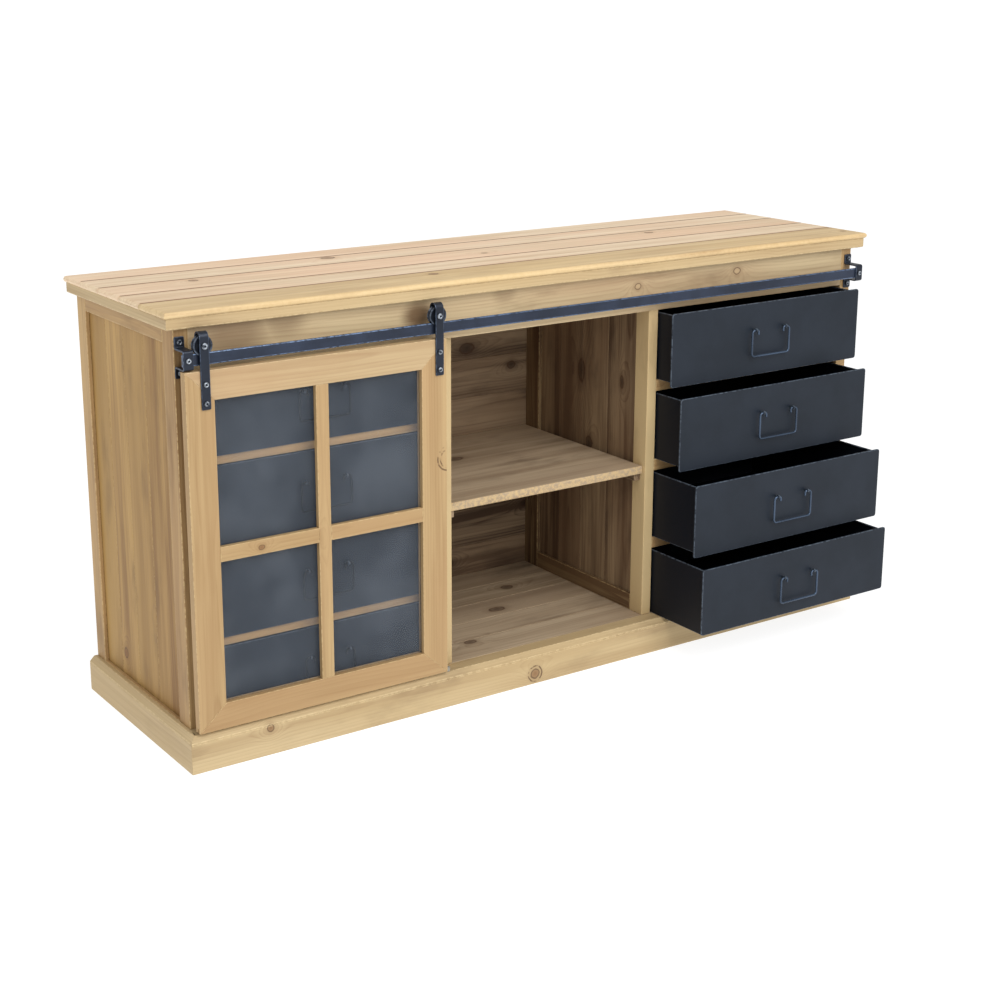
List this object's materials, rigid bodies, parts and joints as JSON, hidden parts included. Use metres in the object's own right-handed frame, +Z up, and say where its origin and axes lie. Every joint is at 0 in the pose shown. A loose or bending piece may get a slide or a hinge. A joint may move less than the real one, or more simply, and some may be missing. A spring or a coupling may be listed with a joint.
{
  "type": "sideboard",
  "caption": "Wooden sideboard with a glazed door sliding on an exposed steel track, an open middle bay with a shelf, and stacks of sheet-steel drawers at both sides.",
  "frame": {"origin": "on the floor, in the middle of the width and of the top's depth, under the middle bearer", "axes": "+X to the right seen from the front, +Y to the back, +Z up; the doors and drawers face -Y"},
  "size_m": [1.682, 0.6257, 0.85],
  "materials": {
    "top_wood": "satin, lightly brushed",
    "edge_wood": "satin, worn along the edges",
    "frame_wood": "satin",
    "side_plank_wood": "satin",
    "inner_wood": "matt",
    "door_wood": "satin",
    "pane_glass": "clear",
    "track_steel": "blackened steel with rubbed edges",
    "bolt_steel": "black oxide",
    "wheel_steel": "black, rubbed where it rolls",
    "handle_steel": "dark grey, satin",
    "drawer_steel": "powder coated, satin",
    "guide_plastic": "moulded"
  },
  "bodies": {
    "carcase": {"top_board_1": "top_wood", "top_board_2": "top_wood", "top_board_3": "top_wood", "top_board_4": "top_wood", "top_board_5": "top_wood", "top_moulding": "edge_wood", "side_frame_left": "frame_wood", "side_frame_right": "frame_wood", "side_planks_left": "side_plank_wood", "side_planks_right": "side_plank_wood", "partition_frame_left": "frame_wood", "partition_frame_right": "frame_wood", "partition_planks_left": "inner_wood", "partition_planks_right": "inner_wood", "face_rail": "frame_wood", "back_planks": "inner_wood", "bottom_boards": "inner_wood", "middle_shelf": "inner_wood", "shelf_cleats": "inner_wood", "drawer_rails": "frame_wood", "drawer_runners": "inner_wood", "base_bearers": "inner_wood", "base_back_rail": "inner_wood", "plinth_front": "edge_wood", "plinth_left": "edge_wood", "plinth_right": "edge_wood", "track_bar": "track_steel", "track_bracket_left": "track_steel", "track_bracket_right": "track_steel", "track_fasteners": "bolt_steel", "door_guide": "guide_plastic"},
    "door": {"door_left_stile": "door_wood", "door_right_stile": "door_wood", "door_top_rail": "door_wood", "door_bottom_rail": "door_wood", "door_muntins": "door_wood", "door_glass": "pane_glass", "door_beads": "door_wood", "hanger_strap_left": "track_steel", "hanger_strap_right": "track_steel", "hanger_fasteners": "bolt_steel"},
    "wheel_left": {"hanger_wheel_left": "wheel_steel"},
    "wheel_right": {"hanger_wheel_right": "wheel_steel"},
    "drawer_left_1": {"drawer_left_1": "drawer_steel"},
    "handle_left_1": {"handle_left_1": "handle_steel"},
    "drawer_left_2": {"drawer_left_2": "drawer_steel"},
    "handle_left_2": {"handle_left_2": "handle_steel"},
    "drawer_left_3": {"drawer_left_3": "drawer_steel"},
    "handle_left_3": {"handle_left_3": "handle_steel"},
    "drawer_left_4": {"drawer_left_4": "drawer_steel"},
    "handle_left_4": {"handle_left_4": "handle_steel"},
    "drawer_right_1": {"drawer_right_1": "drawer_steel"},
    "handle_right_1": {"handle_right_1": "handle_steel"},
    "drawer_right_2": {"drawer_right_2": "drawer_steel"},
    "handle_right_2": {"handle_right_2": "handle_steel"},
    "drawer_right_3": {"drawer_right_3": "drawer_steel"},
    "handle_right_3": {"handle_right_3": "handle_steel"},
    "drawer_right_4": {"drawer_right_4": "drawer_steel"},
    "handle_right_4": {"handle_right_4": "handle_steel"}
  },
  "joints": [
    {"name": "door_slide", "type": "slide", "parent": "carcase", "child": "door", "axis": [1, 0, 0], "range_m": [0, 0.53]},
    {"name": "wheel_left_spin", "type": "hinge", "parent": "door", "child": "wheel_left", "pos_m": [-0.778, -0.24125, 0.79], "axis": [0, 1, 0], "range_deg": [0, 2400]},
    {"name": "wheel_right_spin", "type": "hinge", "parent": "door", "child": "wheel_right", "pos_m": [-0.2965, -0.24125, 0.79], "axis": [0, 1, 0], "range_deg": [0, 2400]},
    {"name": "drawer_left_1_slide", "type": "slide", "parent": "carcase", "child": "drawer_left_1", "axis": [0, -1, 0], "range_m": [0, 0.003]},
    {"name": "handle_left_1_swing", "type": "hinge", "parent": "drawer_left_1", "child": "handle_left_1", "pos_m": [-0.528, -0.2225, 0.67769], "axis": [-1, 0, 0], "range_deg": [0, 2]},
    {"name": "drawer_left_2_slide", "type": "slide", "parent": "carcase", "child": "drawer_left_2", "axis": [0, -1, 0], "range_m": [0, 0.003]},
    {"name": "handle_left_2_swing", "type": "hinge", "parent": "drawer_left_2", "child": "handle_left_2", "pos_m": [-0.528, -0.2225, 0.50556], "axis": [-1, 0, 0], "range_deg": [0, 2]},
    {"name": "drawer_left_3_slide", "type": "slide", "parent": "carcase", "child": "drawer_left_3", "axis": [0, -1, 0], "range_m": [0, 0.003]},
    {"name": "handle_left_3_swing", "type": "hinge", "parent": "drawer_left_3", "child": "handle_left_3", "pos_m": [-0.528, -0.2225, 0.33344], "axis": [-1, 0, 0], "range_deg": [0, 2]},
    {"name": "drawer_left_4_slide", "type": "slide", "parent": "carcase", "child": "drawer_left_4", "axis": [0, -1, 0], "range_m": [0, 0.003]},
    {"name": "handle_left_4_swing", "type": "hinge", "parent": "drawer_left_4", "child": "handle_left_4", "pos_m": [-0.528, -0.2225, 0.16131], "axis": [-1, 0, 0], "range_deg": [0, 2]},
    {"name": "drawer_right_1_slide", "type": "slide", "parent": "carcase", "child": "drawer_right_1", "axis": [0, -1, 0], "range_m": [-0.048, 0.232]},
    {"name": "handle_right_1_swing", "type": "hinge", "parent": "drawer_right_1", "child": "handle_right_1", "pos_m": [0.528, -0.2705, 0.67769], "axis": [-1, 0, 0], "range_deg": [0, 95]},
    {"name": "drawer_right_2_slide", "type": "slide", "parent": "carcase", "child": "drawer_right_2", "axis": [0, -1, 0], "range_m": [-0.082, 0.198]},
    {"name": "handle_right_2_swing", "type": "hinge", "parent": "drawer_right_2", "child": "handle_right_2", "pos_m": [0.528, -0.3045, 0.50556], "axis": [-1, 0, 0], "range_deg": [0, 95]},
    {"name": "drawer_right_3_slide", "type": "slide", "parent": "carcase", "child": "drawer_right_3", "axis": [0, -1, 0], "range_m": [-0.137, 0.143]},
    {"name": "handle_right_3_swing", "type": "hinge", "parent": "drawer_right_3", "child": "handle_right_3", "pos_m": [0.528, -0.3595, 0.33344], "axis": [-1, 0, 0], "range_deg": [0, 95]},
    {"name": "drawer_right_4_slide", "type": "slide", "parent": "carcase", "child": "drawer_right_4", "axis": [0, -1, 0], "range_m": [-0.168, 0.112]},
    {"name": "handle_right_4_swing", "type": "hinge", "parent": "drawer_right_4", "child": "handle_right_4", "pos_m": [0.528, -0.3905, 0.16131], "axis": [-1, 0, 0], "range_deg": [0, 95]}
  ],
  "couplings": [
    {"joint": "wheel_left_spin", "follows": "door_slide", "rad_per_m": 76.923},
    {"joint": "wheel_right_spin", "follows": "door_slide", "rad_per_m": 76.923}
  ]
}
